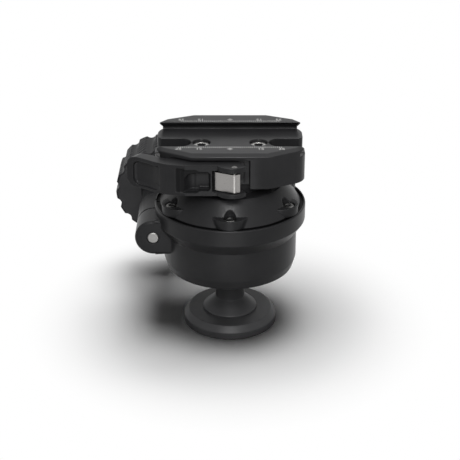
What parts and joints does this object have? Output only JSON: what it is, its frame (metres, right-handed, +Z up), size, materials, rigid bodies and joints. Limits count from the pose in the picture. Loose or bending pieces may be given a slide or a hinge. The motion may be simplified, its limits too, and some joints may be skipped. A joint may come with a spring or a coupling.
{
  "type": "inverted ball head",
  "caption": "Inverted ball head on a short stem with a round foot, a split housing locked by a side knob and a lever-release dovetail clamp on top.",
  "frame": {"origin": "centre of the underside of the base disc, at the mouth of the tripod thread", "axes": "+Z up along the stem, -Y towards the lever side of the clamp, +X along the dovetail channel"},
  "size_m": [0.101, 0.1069, 0.1047],
  "materials": {
    "black_aluminium": "black anodised, satin",
    "dark_aluminium": "black hard anodised, smooth",
    "silver_aluminium": "natural anodised, bead blasted",
    "stainless_steel": "machined",
    "spring_steel": "drawn wire",
    "acetal": "moulded"
  },
  "bodies": {
    "base": {"base_disc": "black_aluminium", "stem": "black_aluminium", "base_screws": "stainless_steel", "ball_washer": "stainless_steel", "ball_screw": "stainless_steel"},
    "ball": {"ball": "dark_aluminium"},
    "seats": {"lower_ball_seat": "acetal", "upper_ball_seat": "acetal"},
    "head": {"housing": "black_aluminium", "cap": "black_aluminium", "cap_screws": "stainless_steel", "clamp_base": "black_aluminium", "clamp_screws": "stainless_steel", "clamp_dowels": "stainless_steel", "draw_bolt": "stainless_steel", "draw_nut": "stainless_steel", "jaw_springs": "spring_steel"},
    "jaw": {"front_jaw": "black_aluminium", "wear_plate": "stainless_steel", "jaw_guide_pins": "stainless_steel"},
    "lever": {"lever": "black_aluminium", "lever_pin": "stainless_steel", "latch_pin": "stainless_steel", "latch_spring": "spring_steel"},
    "latch": {"latch": "silver_aluminium"},
    "knob_slide": {"thrust_washer": "stainless_steel"},
    "knob": {"knob": "black_aluminium", "knob_end_cap": "dark_aluminium", "lock_screw": "stainless_steel"}
  },
  "joints": [
    {"name": "pan", "type": "hinge", "parent": "base", "child": "ball", "pos_m": [0, 0, 0.055], "axis": [0, 0, 1], "continuous": true},
    {"name": "lean", "type": "hinge", "parent": "ball", "child": "seats", "pos_m": [0, 0, 0.055], "axis": [1, 0, 0], "range_deg": [-28, 28]},
    {"name": "swivel", "type": "hinge", "parent": "seats", "child": "head", "pos_m": [0, 0, 0.055], "axis": [0, 0, 1], "continuous": true},
    {"name": "lever_swing", "type": "hinge", "parent": "head", "child": "lever", "pos_m": [0.001, -0.028, 0.0928], "axis": [0, 0, 1], "range_deg": [0, 60]},
    {"name": "jaw_slide", "type": "slide", "parent": "head", "child": "jaw", "axis": [0, -1, 0], "range_m": [0, 0.0022], "deforming": ["jaw_springs"]},
    {"name": "latch_press", "type": "hinge", "parent": "lever", "child": "latch", "pos_m": [0.0021, -0.0334, 0.0922], "axis": [0, 0, 1], "range_deg": [-10, 0], "stiffness_Nm_per_rad": 0.05, "deforming": ["latch_spring"]},
    {"name": "knob_travel", "type": "slide", "parent": "head", "child": "knob_slide", "axis": [0, 1, 0], "range_m": [0, 0.001]},
    {"name": "knob_turn", "type": "hinge", "parent": "knob_slide", "child": "knob", "pos_m": [-0.0388, 0.03, 0.055], "axis": [0, 1, 0], "range_deg": [0, 360]}
  ],
  "couplings": [
    {"joint": "jaw_slide", "follows": "lever_swing", "m_per_rad": 0.0021},
    {"joint": "knob_travel", "follows": "knob_turn", "m_per_rad": 0.000159}
  ]
}
